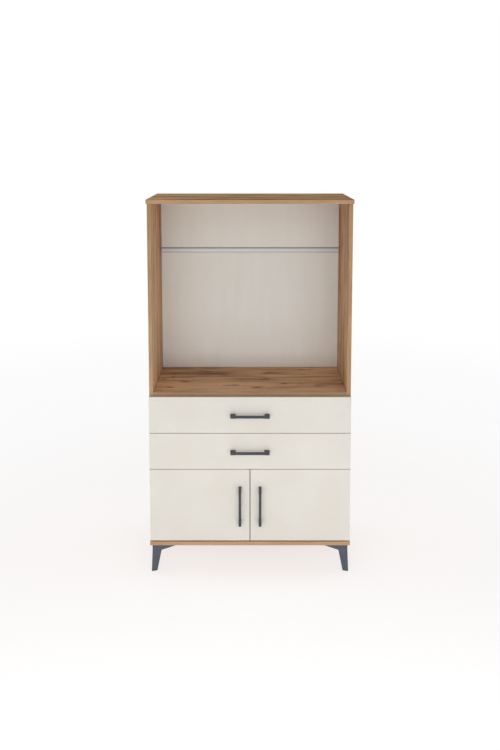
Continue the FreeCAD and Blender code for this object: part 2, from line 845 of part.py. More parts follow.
def make_arm(label, z, sign):
    """The hinge arm with its mounting plate: screwed to the side, its nose reaches into the cup."""
    body = new_body(label + "_pressing")
    arm = sketch_on(body, "XY_Plane")
    outline = [
        (s.arm_near, s.plate_distance), (s.arm_near + s.slide_wall, -s.arm_nose), (s.arm_far, -s.arm_nose),
        (s.arm_far, s.plate_distance - s.plate_width), (s.arm_far - s.slide_wall, s.arm_length),
        (s.arm_near - s.slide_wall, s.arm_length), (s.arm_near - s.slide_wall, s.plate_distance),
    ]
    draw_polygon(arm, [(x * -sign, y) for x, y in outline])
    pad(body, arm, s.arm_height, middle=True)
    plate = sketch_on(body, "XY_Plane")
    low_y = s.plate_distance - s.plate_width / 2
    corners = rectangle((term(0), low_y), (s.arm_near, low_y + s.plate_width))
    draw_polygon(plate, [(x * -sign, y) for x, y in corners])
    pad(body, plate, s.plate_height, middle=True)
    place(body, (inner_half * sign, case_front, z))
    screws = []
    holes = []
    outward = "-X" if sign < 0 else "+X"
    offset = (s.plate_height / 2 + s.arm_height / 2) / 2
    for number, rise in enumerate((-offset, offset)):
        seat = ((inner_half - s.arm_near) * sign, case_front + s.plate_distance, z + rise)
        in_board = s.arm_near + s.screw_in_board
        screws.append(screw(f"{label}_screw_{number}", seat, outward, in_board, s.screw_head))
        holes.append(screw_hole(f"{label}_screw_{number}", seat, outward, in_board))
    keep(cut(label, body, holes), label)
    return screws, holes


def make_door(door, sign):
    """One door with its handle, its hinge cups and the bores they sit in."""
    meeting = s.door_middle_gap / 2
    low_x, high_x = (-case_half, -meeting) if sign < 0 else (meeting, case_half)
    handle_x = s.door_handle_from_middle * sign
    centre = door_foot + s.door_height / 2
    places = [(handle_x + x, centre + z) for x, z in handle_screw_places(upright=True)]
    blank = make_front(door + "_panel_blank", low_x, high_x, door_foot, s.door_height, places)
    make_handle(door + "_handle", handle_x, centre, upright=True)
    make_handle_screws(door + "_handle_screws", handle_x, centre, upright=True)
    bores = []
    cup_x = (case_half - s.cup_from_edge) * sign
    peg_x = cup_x - s.cup_ear_offset * sign
    clear = s.bore_clearance
    cup_bore = (s.cup_radius + clear, s.cup_depth + clear)
    peg_bore = (s.cup_peg_radius + clear, s.cup_peg_depth + clear)
    for end, z in hinge_heights().items():
        label = f"{door}_{end}_hinge_cup"
        make_cup(label, cup_x, z, sign)
        bores.append(rod(label + "_bore", (cup_x, front_back, z), "-Y", *cup_bore))
        for n, half in enumerate((-s.cup_peg_spacing / 2, s.cup_peg_spacing / 2)):
            bores.append(rod(f"{label}_bore_{n}", (peg_x, front_back, z + half), "-Y", *peg_bore))
    keep(cut(door + "_panel", blank, bores), door + "_panel")


# ---- Assembly ----


def merged(*groups):
    """One table of holes for each board, from several."""
    holes = {}
    for group in groups:
        for board, tools in group.items():
            holes.setdefault(board, []).extend(tools)
    return holes


def make_case_hardware():
    """Everything screwed to the case, with the holes that each board needs for it."""
    tables = [make_dowels(), make_cams(), make_legs()]
    rail_screws = []
    for drawer, foot in DRAWER_FOOT.items():
        screws, holes = make_slides(drawer, foot)
        rail_screws += screws
        tables.append(holes)
    keep(grouped("rail_screws", rail_screws), "rail_screws")
    arm_screws = []
    for door, sign in DOOR_SIDE.items():
        board = ("left" if sign < 0 else "right") + "_side_panel"
        for end, z in hinge_heights().items():
            screws, holes = make_arm(f"{door}_{end}_hinge_arm", z, sign)
            arm_screws += screws
            tables.append({board: holes})
    keep(grouped("hinge_screws", arm_screws), "hinge_screws")
    return merged(*tables)


def build():
    holes = make_case_hardware()
    make_caps(holes)
    make_sides(holes)
    make_shelves(holes)
    make_back()
    for drawer, foot in DRAWER_FOOT.items():
        make_drawer(drawer, foot)
    for door, sign in DOOR_SIDE.items():
        make_door(door, sign)
    doc.recompute()


def check():
    """Stops where an object failed, or a sub-part isn't sound."""
    failed = [o.Label for o in doc.Objects if "Invalid" in o.State or "Error" in o.State]
    if failed:
        raise RuntimeError("failed objects: " + ", ".join(failed))
    for made in subparts:
        if made.Shape.isNull() or not made.Shape.isValid() or made.Shape.Volume <= 0:
            raise RuntimeError("unsound sub-part: " + made.Label)


def export():
    """Writes each sub-part to a file named after it."""
    os.makedirs("parts", exist_ok=True)
    for made in subparts:
        made.Shape.exportStep(f"parts/{made.Label}.step")
        print(made.Label, len(made.Shape.Solids), round(made.Shape.Volume))


build()
check()
export()
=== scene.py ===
"""Dresses the free-standing cabinet: finishes for its boards and fittings, and finer handles and legs.

Metres, +Z up, +Y from the fronts to the back. Every surface made here is computed as whole arrays.
"""

import math

import bpy
import numpy as np
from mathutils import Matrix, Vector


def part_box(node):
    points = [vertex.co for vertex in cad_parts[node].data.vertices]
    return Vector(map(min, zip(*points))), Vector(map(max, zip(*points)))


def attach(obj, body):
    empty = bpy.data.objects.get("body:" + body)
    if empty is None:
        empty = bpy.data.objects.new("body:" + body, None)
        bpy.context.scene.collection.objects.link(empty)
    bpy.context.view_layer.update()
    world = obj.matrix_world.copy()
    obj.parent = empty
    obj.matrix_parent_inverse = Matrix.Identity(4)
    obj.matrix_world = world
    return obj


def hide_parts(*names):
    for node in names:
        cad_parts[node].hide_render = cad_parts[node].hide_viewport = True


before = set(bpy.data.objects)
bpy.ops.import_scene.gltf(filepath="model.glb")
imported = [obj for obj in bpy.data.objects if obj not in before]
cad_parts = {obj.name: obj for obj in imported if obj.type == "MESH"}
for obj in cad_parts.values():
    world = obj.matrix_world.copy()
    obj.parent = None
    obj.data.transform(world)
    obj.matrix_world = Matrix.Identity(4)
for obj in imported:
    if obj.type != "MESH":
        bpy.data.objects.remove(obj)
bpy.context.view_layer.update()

MM = 0.001
DRAWERS = ("upper_drawer", "lower_drawer")
DOORS = ("left_door", "right_door")
SIDES = {"left": -1, "right": 1}
LEG_ENDS = {"front": -1, "rear": 1}

# Handles: a slim bar between two broader feet
HANDLE_FOOT_LENGTH = 23 * MM
HANDLE_BAR_DEPTH = 9 * MM
HANDLE_BAR_WIDTH = 11 * MM
HANDLE_CORNER = 2 * MM
HANDLE_ROUNDING = 1 * MM

# Legs: an angle with a gusset along both edges
LEG_HEIGHT = 125 * MM
LEG_SPLAY = 4 * MM
LEG_TURN = 6 * MM
LEG_WALL = 12 * MM
LEG_BEVEL = 2 * MM
LEG_FLANGE = 3 * MM
LEG_GUSSET_LENGTH = 111 * MM
LEG_GUSSET_DROP = 24 * MM
LEG_KNEE_WIDTH = 41 * MM
LEG_FOOT_WIDTH = 25 * MM
LEG_FLANGE_REACH = 62 * MM
LEG_FLANGE_WIDTH = 24 * MM
LEG_ROUNDING = 0.7 * MM
LEG_KNEE_SOFTNESS = 3 * MM
# The hair's breadth between the flange and the case, and how many rings shape the knee and the shank
LEG_FLANGE_GAP = 0.05 * MM
LEG_KNEE_RINGS = 22
LEG_SHANK_RINGS = 14

# Joint strip across the back: the height of each of its two lips, and the softness of their borders
STRIP_LIP = 4.2 * MM
STRIP_BORDER = 0.3 * MM

# Camera: its place, its tilt down in degrees, its lens in millimetres and its shift as a share of the frame
CAMERA_PLACE = (0.0, -3.631, 1.927)
CAMERA_PITCH = 6.1
CAMERA_LENS = 38.33
CAMERA_SHIFT = -0.195

# Floor: it shows the shadow within the near distance, one even tone from the far one, and ends in white
FLOOR_HALF_WIDTH = 30.0
FLOOR_NEAR = 1.1
FLOOR_FAR = 2.4
FLOOR_WHITE = 5.0
FLOOR_TONE = 0.955
FLOOR_COLOUR = (0.90, 0.89, 0.88, 1.0)
FLOOR_SHADE = (0.31, 0.37, 0.38, 1.0)
FLOOR_GLOW = (0.73, 0.67, 0.66, 1.0)

# Light: the sky's strength, and each lamp's name, place, target, width and height, and power in watts
WORLD_LIGHT = 0.48
LAMPS = (
    ("low_softbox", (0.0, -4.0, 0.45), (0.0, 0.0, 0.45), (5.0, 0.8), 39),
    ("apron_softbox", (0.0, -2.0, 1.25), (0.0, -2.0, 0.0), (3.0, 0.6), 20),
    ("high_softbox", (0.0, -4.2, 2.8), (0.0, 0.0, 0.8), (4.0, 1.2), 11),
    ("left_softbox", (-4.5, 1.2, 1.6), (0.0, 0.0, 0.8), (2.5, 2.5), 30),
    ("right_softbox", (4.5, 1.2, 1.6), (0.0, 0.0, 0.8), (2.5, 2.5), 30),
    ("back_softbox", (0.0, 5.0, 1.8), (0.0, 0.0, 0.9), (4.0, 2.5), 50),
)


def srgb(red, green, blue):
    """A colour given as 0 to 255 display values, as linear light with full opacity."""
    shown = np.array([red, green, blue]) / 255
    linear = np.where(shown <= 0.04045, shown / 12.92, ((shown + 0.055) / 1.055) ** 2.4)
    return (*linear.tolist(), 1.0)


# ---- Surfaces ----


def smoothstep(t):
    t = np.clip(t, 0, 1)
    return t * t * (3 - 2 * t)


def rounded_rings(corners, cut, steps=4):
    """Rounds every corner of every ring.

    corners is (rings, corners, 3). Each corner C becomes the curve (1-t)^2 A + 2t(1-t) C + t^2 B,
    where A and B lie at the distance cut from C on the sides that meet there.
    """
    before = np.roll(corners, 1, axis=1) - corners
    after = np.roll(corners, -1, axis=1) - corners
    a = corners + before / np.linalg.norm(before, axis=2, keepdims=True) * cut
    b = corners + after / np.linalg.norm(after, axis=2, keepdims=True) * cut
    t = np.linspace(0, 1, steps)[None, None, :, None]
    curve = (1 - t) ** 2 * a[:, :, None] + 2 * t * (1 - t) * corners[:, :, None] + t**2 * b[:, :, None]
    return curve.reshape(len(corners), -1, 3)


def signed_volume(points, quads):
    """The volume inside closed quads, negative where they face inwards."""
    a, b, c, d = (points[quads[:, k]] for k in range(4))
    return (np.einsum("ij,ij->i", a, np.cross(b, c)) + np.einsum("ij,ij->i", a, np.cross(c, d))).sum() / 6


def add_piece(name, shells, body, node, finish):
    """A piece of closed shells, each a stack of rings with one face over each end, that replaces a node."""
    points = []
    faces = []
    start = 0
    for rings in shells:
        levels, around = rings.shape[:2]
        index = np.arange(levels * around).reshape(levels, around)
        ahead = np.roll(index, -1, axis=1)
        quads = np.stack([index[:-1], ahead[:-1], ahead[1:], index[1:]], axis=-1).reshape(-1, 4)
        flat = rings.reshape(-1, 3)
        step = 1 if signed_volume(flat - flat.mean(0), quads) > 0 else -1
        quads = quads[:, ::step] + start
        caps = [(index[0] + start)[::-step].tolist(), (index[-1] + start)[::step].tolist()]
        points.append(flat)
        faces += quads.tolist() + caps
        start += levels * around
    mesh = bpy.data.meshes.new(name)
    mesh.from_pydata(np.concatenate(points).tolist(), [], faces)
    mesh.validate()
    mesh.shade_smooth()
    piece = bpy.data.objects.new(name, mesh)
    bpy.context.scene.collection.objects.link(piece)
    normals = piece.modifiers.new("even_faces", "WEIGHTED_NORMAL")
    normals.weight = 100
    mesh.materials.append(finish)
    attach(piece, body)
    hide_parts(node)


def handle_rings(length, reach, half_width):
    """The handle as rings between an outer and an inner outline, from one foot's base to the other's.

    Both outlines rise from the base, turn a corner of radius HANDLE_CORNER and meet their mirror image in
    the middle. A ring spans from one to the other, and its half thickness eases from the foot's to the
    bar's. Coordinates: along the handle, out from the front, across.
    """
    corner = HANDLE_CORNER
    foot = HANDLE_FOOT_LENGTH
    rise = np.linspace(0, 1, 5)
    turn = np.linspace(0, math.pi / 2, 7)[1:]
    slide = np.linspace(0, 1, 13)[1:]
    bend = slide * math.pi / 2
    run = np.linspace(0, 1, 5)[1:]
    inner_top = reach - HANDLE_BAR_DEPTH
    outer = np.concatenate([
        np.stack([rise * 0, rise * (reach - corner)], 1),
        np.stack([corner - corner * np.cos(turn), reach - corner + corner * np.sin(turn)], 1),
        np.stack([corner + slide * foot, slide * 0 + reach], 1),
        np.stack([corner + foot + run * (length / 2 - corner - foot), run * 0 + reach], 1),
    ])
    inner = np.concatenate([
        np.stack([rise * 0 + foot, rise * (inner_top - corner)], 1),
        np.stack([turn * 0 + foot, turn * 0 + inner_top - corner], 1),
        np.stack([foot + corner - corner * np.cos(bend), inner_top - corner + corner * np.sin(bend)], 1),
        np.stack([foot + corner + run * (length / 2 - corner - foot), run * 0 + inner_top], 1),
    ])
    ease = smoothstep((outer[:, 0] - foot + corner) / (2 * corner))
    half = half_width + (HANDLE_BAR_WIDTH / 2 - half_width) * ease
    mirror = np.array([-1, 1])
    offset = np.array([length, 0])
    outer = np.concatenate([outer, (outer * mirror + offset)[-2::-1]])
    inner = np.concatenate([inner, (inner * mirror + offset)[-2::-1]])
    half = np.concatenate([half, half[-2::-1]])
    corners = np.stack([
        np.column_stack([outer, -half]),
        np.column_stack([outer, half]),
        np.column_stack([inner, half]),
        np.column_stack([inner, -half]),
    ], 1)
    return rounded_rings(corners, HANDLE_ROUNDING)


def add_handle(owner, finish):
    """A drawer's lying handle or a door's upright one, where its CAD node is."""
    node = owner + "_handle"
    low, high = (np.array(corner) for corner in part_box(node))
    size = high - low
    upright = size[2] > size[0]
    along = 2 if upright else 0
    across = 0 if upright else 2
    rings = handle_rings(size[along], size[1], size[across] / 2)
    placed = np.empty_like(rings)
    placed[..., along] = low[along] + rings[..., 0]
    placed[..., 1] = high[1] - rings[..., 1]
    placed[..., across] = (low[across] + high[across]) / 2 + rings[..., 2]
    add_piece(node + "_bar", [placed], owner, node, finish)


def leg_corners(drop, inset):
    """The corners of the leg's angle section at each depth below the case, each face moved in by inset.

    The wing's end follows the upper of two lines, the gusset's and the leg's, joined softly as
    (p + q + sqrt((p - q)^2 + k^2)) / 2. Below the knee the outer corner moves out in proportion, and the
    wings' ends turn in.
    """
    knee = LEG_FLANGE + LEG_GUSSET_DROP
    below = np.clip((drop - knee) / (LEG_HEIGHT - knee), 0, 1)
    gusset_slope = (LEG_GUSSET_LENGTH - LEG_KNEE_WIDTH) / LEG_GUSSET_DROP
    gusset = LEG_GUSSET_LENGTH - gusset_slope * (drop - LEG_FLANGE)
    foot_end = LEG_FOOT_WIDTH - LEG_SPLAY
    shank = LEG_KNEE_WIDTH + (foot_end - LEG_KNEE_WIDTH) * (drop - knee) / (LEG_HEIGHT - knee)
    soft = (gusset + shank + np.sqrt((gusset - shank) ** 2 + LEG_KNEE_SOFTNESS**2)) / 2
    end = np.minimum(soft, LEG_GUSSET_LENGTH) - inset
    out = inset - LEG_SPLAY * below
    face = out + LEG_TURN * below
    inner = out + LEG_WALL - 2 * inset
    wall = face + LEG_WALL - 2 * inset
    outline = [
        (out + LEG_BEVEL, out), (end - LEG_BEVEL, face), (end, face + LEG_BEVEL),
        (end, wall), (inner, inner), (wall, end),
        (face + LEG_BEVEL, end), (face, end - LEG_BEVEL), (out, out + LEG_BEVEL),
    ]
    return np.stack([np.column_stack([x, y, -drop]) for x, y in outline], 1)


def leg_shells():
    """The leg's angle, closed by softened ends, and the thin flange that its screws pass through."""
    drop = np.concatenate([
        [0, LEG_ROUNDING / 2],
        np.linspace(LEG_FLANGE, LEG_FLANGE + LEG_GUSSET_DROP * 1.4, LEG_KNEE_RINGS),
        np.linspace(LEG_HEIGHT * 0.33, LEG_HEIGHT - LEG_ROUNDING, LEG_SHANK_RINGS),
        [LEG_HEIGHT - LEG_ROUNDING / 3, LEG_HEIGHT],
    ])
    inset = np.zeros_like(drop)
    inset[0] = LEG_ROUNDING / 4
    inset[-2:] = LEG_ROUNDING / 4, LEG_ROUNDING / 2
    angle = rounded_rings(leg_corners(drop, inset), LEG_ROUNDING)
    inner = LEG_WALL / 2
    reach = LEG_FLANGE_REACH
    width = LEG_FLANGE_WIDTH
    outline = np.array([(inner, inner), (reach, inner), (reach, width), (width, reach), (inner, reach)])
    levels = np.array([LEG_FLANGE_GAP, LEG_FLANGE * 0.8, LEG_FLANGE])
    shrink = np.array([1, 1, 0.99])
    flange = np.empty((len(levels), len(outline), 3))
    flange[..., :2] = outline * shrink[:, None, None]
    flange[..., 2] = -levels[:, None]
    return [angle, rounded_rings(flange, LEG_ROUNDING)]


def add_leg(end, side, finish):
    """One corner leg: the shells above, mirrored into their corner."""
    node = f"{end}_{side}_leg"
    low, high = (np.array(corner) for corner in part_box(node))
    sign = np.array([SIDES[side], LEG_ENDS[end], 0])
    corner = np.where(sign > 0, high - LEG_SPLAY, low + LEG_SPLAY)
    corner[2] = high[2]
    turn = np.array([-SIDES[side], -LEG_ENDS[end], 1])
    shells = [corner + rings * turn for rings in leg_shells()]
    add_piece(node + "_moulding", shells, "carcass", node, finish)


# ---- Finishes ----


class Finish:
    """One procedural material: a Principled shader, and a short call for each kind of node."""

    def __init__(self, name, roughness=0.5, metallic=0.0, specular=0.5):
        self.material = bpy.data.materials.new(name)
        self.material.use_nodes = True
        self.tree = self.material.node_tree
        self.tree.nodes.clear()
        self.shader = self.add("ShaderNodeBsdfPrincipled")
        self.feed("Roughness", roughness)
        self.feed("Metallic", metallic)
        self.feed("Specular IOR Level", specular)
        output = self.add("ShaderNodeOutputMaterial")
        self.tree.links.new(self.shader.outputs["BSDF"], output.inputs["Surface"])
        coordinates = self.add("ShaderNodeTexCoord")
        self.place = coordinates.outputs["Object"]
        self.normal = coordinates.outputs["Normal"]

    def add(self, kind, **settings):
        node = self.tree.nodes.new(kind)
        for name, setting in settings.items():
            setattr(node, name, setting)
        return node

    def put(self, socket, source):
        """Gives a socket another node's output, or a fixed value."""
        if isinstance(source, bpy.types.NodeSocket):
            self.tree.links.new(source, socket)
        else:
            socket.default_value = source

    def feed(self, name, source):
        """Sets one of the shader's own sockets."""
        self.put(self.shader.inputs[name], source)

    def maths(self, operation, *sources):
        node = self.add("ShaderNodeMath", operation=operation)
        for socket, source in zip(node.inputs, sources):
            self.put(socket, source)
        return node.outputs[0]

    def total(self, *shares):
        """The sum of value times weight over the given pairs."""
        result = 0.0
        for value, weight in shares:
            result = self.maths("MULTIPLY_ADD", value, weight, result)
        return result

    def largest(self, *values):
        result = values[0]
        for value in values[1:]:
            result = self.maths("MAXIMUM", result, value)
        return result

    def vector(self, operation, *sources):
        node = self.add("ShaderNodeVectorMath", operation=operation)
        for socket, source in zip(node.inputs, sources):
            self.put(socket, source)
        return node.outputs["Value" if operation == "LENGTH" else "Vector"]

    def split(self, vector):
        node = self.add("ShaderNodeSeparateXYZ")
        self.put(node.inputs[0], vector)
        return list(node.outputs)

    def join(self, *parts):
        node = self.add("ShaderNodeCombineXYZ")
        for socket, part in zip(node.inputs, parts):
            self.put(socket, part)
        return node.outputs[0]

    def noise(self, vector, scale=1.0, detail=2.0, roughness=0.5):
        node = self.add("ShaderNodeTexNoise")
        self.put(node.inputs["Vector"], vector)
        self.put(node.inputs["Scale"], scale)
        self.put(node.inputs["Detail"], detail)
        self.put(node.inputs["Roughness"], roughness)
        return node.outputs[0]

    def between(self, value, low, high, to_low=0.0, to_high=1.0):
        """The value's smooth way from low to high, as a number from to_low to to_high."""
        node = self.add("ShaderNodeMapRange", interpolation_type="SMOOTHSTEP")
        for socket, source in zip(node.inputs, (value, low, high, to_low, to_high)):
            self.put(socket, source)
        return node.outputs[0]

    def ramp(self, factor, stops):
        node = self.add("ShaderNodeValToRGB")
        self.put(node.inputs[0], factor)
        elements = node.color_ramp.elements
        while len(elements) < len(stops):
            elements.new(1.0)
        for element, (position, colour) in zip(elements, stops):
            element.position = position
            element.color = colour
        return node.outputs["Color"]

    def mix(self, factor, first, second):
        """A mix of two colours. The node has sockets of every type, and the colours' are 6, 7 and 2."""
        node = self.add("ShaderNodeMix", data_type="RGBA")
        self.put(node.inputs[0], factor)
        self.put(node.inputs[6], first)
        self.put(node.inputs[7], second)
        return node.outputs[2]

    def bump(self, height, distance, strength=1.0):
        node = self.add("ShaderNodeBump")
        node.inputs["Strength"].default_value = strength
        node.inputs["Distance"].default_value = distance
        self.put(node.inputs["Height"], height)
        self.feed("Normal", node.outputs["Normal"])


# A face looks along an axis where its normal's part on that axis is above this
FACING = 0.7

# The oak's tones, from its dark streaks to its pale ones, each with its place on the scale of tone
OAK_TONES = (
    (0.37, srgb(113, 81, 56)),
    (0.46, srgb(155, 117, 84)),
    (0.52, srgb(195, 154, 115)),
    (0.58, srgb(214, 174, 133)),
    (0.66, srgb(225, 187, 146)),
)
# The knots' halo colour, also used for the painted shade towards the rear of the side panels
OAK_HALO_AND_REAR_SHADE = srgb(142, 99, 66)
OAK_SPLIT = srgb(94, 63, 43)
OAK_KNOT = srgb(70, 45, 31)
# The two tones of the band on each board's narrow faces. The bands are one stock and differ from board to
# board only as painted light and shade: lighter on the top panel, darker on the niche floor
SIDE_BAND = (srgb(171, 135, 99), srgb(191, 155, 118))
LIT_AND_SHADED_BANDS = {
    "top_panel": (srgb(186, 149, 115), srgb(207, 170, 135)),
    "left_side_panel": SIDE_BAND,
    "right_side_panel": SIDE_BAND,
    "niche_floor": (srgb(157, 124, 94), srgb(175, 141, 109)),
    "bottom_panel": (srgb(177, 140, 104), srgb(198, 161, 123)),
}
# How often knots come: cells per metre along and across the grain, and the share of cells without one
KNOT_ALONG = 2.3
KNOT_ACROSS = 6.5
KNOT_FREE = 0.56
# The smallest knot's size against the ovals below, and how much more the largest has
KNOT_SMALLEST = 0.55
KNOT_SPREAD = 0.9
# Half length and half width of a knot's heart, halo and tail, and how strongly it pulls the grain
KNOT_HEART = (15 * MM, 7 * MM)
KNOT_HALO = (85 * MM, 19 * MM)
KNOT_TAIL = (55 * MM, 1.6 * MM)
KNOT_PULL = 0.85
# Growth rings: how many per metre, and by how many of them the noise moves them
RINGS_PER_METRE = 62.0
RING_WANDER = 22.0
# How much of a board's own shift along the grain also goes across it
SHIFT_ACROSS = 0.37
# How dark splits, marks, halos and pores are at their full depth
SPLIT_DEPTH = 0.7
MARK_DEPTH = 0.85
HALO_DEPTH = 0.55
PORE_DEPTH = 0.25
# Glue line between a face and its band, widened into painted shade where a narrow gap shows a board's
# edge: how far it reaches into the face, up to where it is at its full depth, and that depth
GLUE_REACH = 3.2 * MM
GLUE_CORE = 0.8 * MM
GLUE_DEPTH = 0.6
# Painted shade towards the rear edge of the side panels, where the niche lies in shade: how far its border
# wanders, and where along Y it sets in and is full
REAR_SHADE_WANDER = 120 * MM
REAR_SHADE_RANGE = (130 * MM, 260 * MM)


def grain_axes(f, along):
    """Along the grain, across it and through the board, and 1 on the narrow faces, which carry a band.

    On a lying board's end faces the band's grain runs along Y.
    """
    x, y, z = f.split(f.place)
    facing = [f.maths("GREATER_THAN", f.maths("ABSOLUTE", n), FACING) for n in f.split(f.normal)]
    if along == "Z":
        return z, y, x, f.maths("SUBTRACT", 1.0, facing[0])
    g = f.maths("MULTIPLY_ADD", facing[0], f.maths("SUBTRACT", y, x), x)
    a = f.maths("MULTIPLY_ADD", facing[0], f.maths("SUBTRACT", x, y), y)
    return g, a, z, f.maths("SUBTRACT", 1.0, facing[2])


def oval(f, dg, da, half, rough=0.0):
    """Distance from an oval's middle, 1 at its rim, made uneven by rough."""
    flat = f.join(f.maths("DIVIDE", dg, half[0]), f.maths("DIVIDE", da, half[1]), 0.0)
    return f.maths("ADD", f.vector("LENGTH", flat), rough)


def grown_knots(f, g, a, rough):
    """Knots scattered by a cellular pattern.

    Returns the heart's shade, the halo's shade, the split along its tail, and a bent across-coordinate:
    a - KNOT_PULL * da * exp(-d^2), where d is the distance in halos, which leads the grain round each knot.
    """
    cells = f.join(f.maths("MULTIPLY", g, KNOT_ALONG), f.maths("MULTIPLY", a, KNOT_ACROSS), 0.0)
    pattern = f.add("ShaderNodeTexVoronoi", voronoi_dimensions="2D")
    f.put(pattern.inputs["Vector"], cells)
    pattern.inputs["Scale"].default_value = 1.0
    chance, size, _ = f.split(pattern.outputs["Color"])
    offset = f.split(f.vector("SUBTRACT", cells, pattern.outputs["Position"]))
    scale = f.maths("MULTIPLY_ADD", size, KNOT_SPREAD, KNOT_SMALLEST)
    dg = f.maths("DIVIDE", f.maths("DIVIDE", offset[0], KNOT_ALONG), scale)
    da = f.maths("DIVIDE", f.maths("DIVIDE", offset[1], KNOT_ACROSS), scale)
    there = f.maths("GREATER_THAN", chance, KNOT_FREE)
    around = oval(f, dg, da, KNOT_HALO)
    fall = f.maths("EXPONENT", f.maths("MULTIPLY", f.maths("POWER", around, 2.0), -1.0))
    pull = f.maths("MULTIPLY", f.maths("MULTIPLY", da, fall), there)
    bent = f.maths("MULTIPLY_ADD", pull, -KNOT_PULL, a)
    heart = f.maths("MULTIPLY", f.between(oval(f, dg, da, KNOT_HEART, rough), 1.0, 0.45), there)
    halo = f.maths("MULTIPLY", f.between(f.maths("ADD", around, rough), 1.0, 0.1), there)
    tail = f.maths("MULTIPLY", f.between(oval(f, dg, da, KNOT_TAIL, rough), 1.0, 0.3), there)
    return heart, halo, tail, bent


def edge_distance(f, low, high, axes=(0, 2)):
    """How far a point lies from the nearest edge of a board's face, in metres."""
    place = f.split(f.place)
    nearest = 1.0
    for axis in axes:
        nearest = f.maths("MINIMUM", f.maths("SUBTRACT", place[axis], low[axis]), nearest)
        nearest = f.maths("MINIMUM", f.maths("SUBTRACT", high[axis], place[axis]), nearest)
    return nearest


def add_marks(f, g, a, marks, ragged, shade):
    """The shade, deepened at single splits and small knots, each (g, a, half length, half width)."""
    for mark_g, mark_a, half_length, half_width in marks:
        dg = f.maths("SUBTRACT", g, mark_g)
        da = f.maths("SUBTRACT", a, mark_a)
        mark = f.between(oval(f, dg, da, (half_length, half_width), ragged), 1.3, 0.5)
        shade = f.maths("MAXIMUM", shade, f.maths("MULTIPLY", mark, MARK_DEPTH))
    return shade


def glue_line_and_shade(f, node, along):
    """How strongly the glue line and its painted shade show, next to the edges of a board's broad faces."""
    face_axes = (1, 2) if along == "Z" else (0, 1)
    return f.between(edge_distance(f, *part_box(node), face_axes), GLUE_REACH, GLUE_CORE, 0.0, GLUE_DEPTH)


def oak(node, along, shift, marks=(), sheen=0.22, rear_shade=0.0):
    """Board faced with knotty oak, its grain along one axis, with calmer bands on the narrow faces.

    Broad streaks, narrow streaks, fibres and pores are noises stretched along the grain. A growth ring
    darkens as fract(RINGS_PER_METRE a + noise)^2.5 and then starts anew. The streaks, fibres, rings and
    splits are led round the knots. A painted shade darkens the board towards its rear edge, and a thin
    glue line, widened into painted shade, shows where a band meets the face.
    """
    f = Finish("oak_" + node, specular=sheen)
    plain_g, plain_a, t, band = grain_axes(f, along)
    g = f.maths("ADD", plain_g, shift)
    a = f.maths("ADD", plain_a, shift * SHIFT_ACROSS)

    def stretched(along_scale, across_scale, detail, roughness=0.55, across=a):
        place = f.join(
            f.maths("MULTIPLY", g, along_scale),
            f.maths("MULTIPLY", across, across_scale),
            f.maths("MULTIPLY", t, across_scale),
        )
        return f.noise(place, 1.0, detail, roughness)

    torn = f.maths("MULTIPLY_ADD", stretched(45, 330, 2.0), 2.4, -1.2)
    heart, halo, tail, bent = grown_knots(f, g, a, torn)
    broad = stretched(1.3, 10, 3.0, across=bent)
    streaks = stretched(3.6, 34, 6.0, 0.6, across=bent)
    fibres = stretched(9, 260, 4.0, 0.65, across=bent)
    wander = f.maths("MULTIPLY", stretched(0.7, 4.5, 2.0), RING_WANDER)
    phase = f.maths("MULTIPLY_ADD", bent, RINGS_PER_METRE, wander)
    rings = f.maths("POWER", f.maths("FRACT", phase), 2.5)
    tone = f.total((broad, 0.50), (streaks, 0.40), (fibres, 0.20), (rings, -0.04))
    colour = f.ramp(tone, OAK_TONES)

    ridge = f.maths("ABSOLUTE", f.maths("SUBTRACT", stretched(2.2, 30, 2.0, across=bent), 0.5))
    patches = f.between(stretched(2.2, 7, 1.0), 0.55, 0.68)
    splits = f.maths("MULTIPLY", f.between(ridge, 0.014, 0.003), patches)
    pores = f.maths("MULTIPLY", f.between(stretched(30, 1300, 1.0), 0.60, 0.72), PORE_DEPTH)
    shade = f.largest(tail, f.maths("MULTIPLY", splits, SPLIT_DEPTH), pores)
    ragged = f.maths("MULTIPLY_ADD", stretched(28, 210, 3.0), 5.0, -2.5)
    shade = add_marks(f, plain_g, plain_a, marks, ragged, shade)
    # Painted shade: the board darkens towards its rear edge, where the niche lies in shade
    inwards = f.maths("MULTIPLY_ADD", broad, REAR_SHADE_WANDER, plain_a)
    colour = f.mix(f.between(inwards, *REAR_SHADE_RANGE, 0.0, rear_shade), colour, OAK_HALO_AND_REAR_SHADE)
    colour = f.mix(f.maths("MULTIPLY", halo, HALO_DEPTH), colour, OAK_HALO_AND_REAR_SHADE)
    colour = f.mix(shade, colour, OAK_SPLIT)
    colour = f.mix(heart, colour, OAK_KNOT)
    # A real glue line, made wider and darker as painted shade
    colour = f.mix(glue_line_and_shade(f, node, along), colour, OAK_SPLIT)

    band_tone = f.between(f.total((streaks, 0.5), (fibres, 0.5)), 0.35, 0.65)
    f.feed("Base Color", f.mix(band, colour, f.mix(band_tone, *LIT_AND_SHADED_BANDS[node])))
    f.feed("Roughness", f.between(fibres, 0.3, 0.7, 0.68, 0.52))
    f.bump(f.total((fibres, 0.35), (pores, -1.6), (shade, -0.4), (heart, -0.5)), 0.3 * MM, 0.6)
    return f.material


